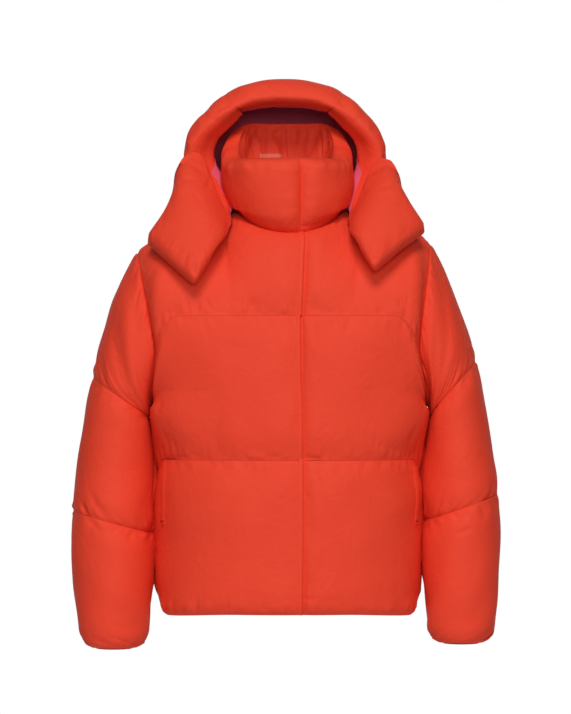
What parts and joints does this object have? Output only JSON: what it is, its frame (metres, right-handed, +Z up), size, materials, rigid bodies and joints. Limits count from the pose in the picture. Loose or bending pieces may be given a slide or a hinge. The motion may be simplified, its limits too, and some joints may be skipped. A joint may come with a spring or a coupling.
{
  "type": "puffer jacket",
  "caption": "Short hooded puffer jacket filled out as if worn, with quilted front, back and sleeves, a high collar and a standing hood.",
  "frame": {"origin": "middle of the neck opening, level with the shoulder seams' neck ends, where the wearer holds the jacket up", "axes": "+Z up from hem to hood, -Y the front with the fly, +X the wearer's left"},
  "size_m": [0.662, 0.3842, 0.8825],
  "materials": {
    "shell": "smooth down-proof nylon with a low sheen",
    "cuff": "nylon gathered on elastic",
    "lining": "thin plain lining",
    "label": "plain woven tab"
  },
  "bodies": {
    "root": {"front_right_lower": "shell", "front_right_middle": "shell", "front_right_yoke": "shell", "front_left_lower": "shell", "front_left_middle": "shell", "front_left_yoke": "shell", "back_lower": "shell", "back_middle": "shell", "back_yoke": "shell", "sleeve_right_upper": "shell", "sleeve_right_middle": "shell", "sleeve_right_lower": "shell", "sleeve_left_upper": "shell", "sleeve_left_middle": "shell", "sleeve_left_lower": "shell", "collar_right": "shell", "collar_left": "shell", "fly": "shell", "hood_right": "shell", "hood_left": "shell", "hood_middle": "shell", "hood_flap_right": "shell", "hood_flap_left": "shell", "pocket_right": "shell", "pocket_left": "shell", "cuff_right": "cuff", "cuff_left": "cuff", "lining_right": "lining", "lining_left": "lining", "lining_middle": "lining", "neck_label": "label"}
  },
  "joints": []
}
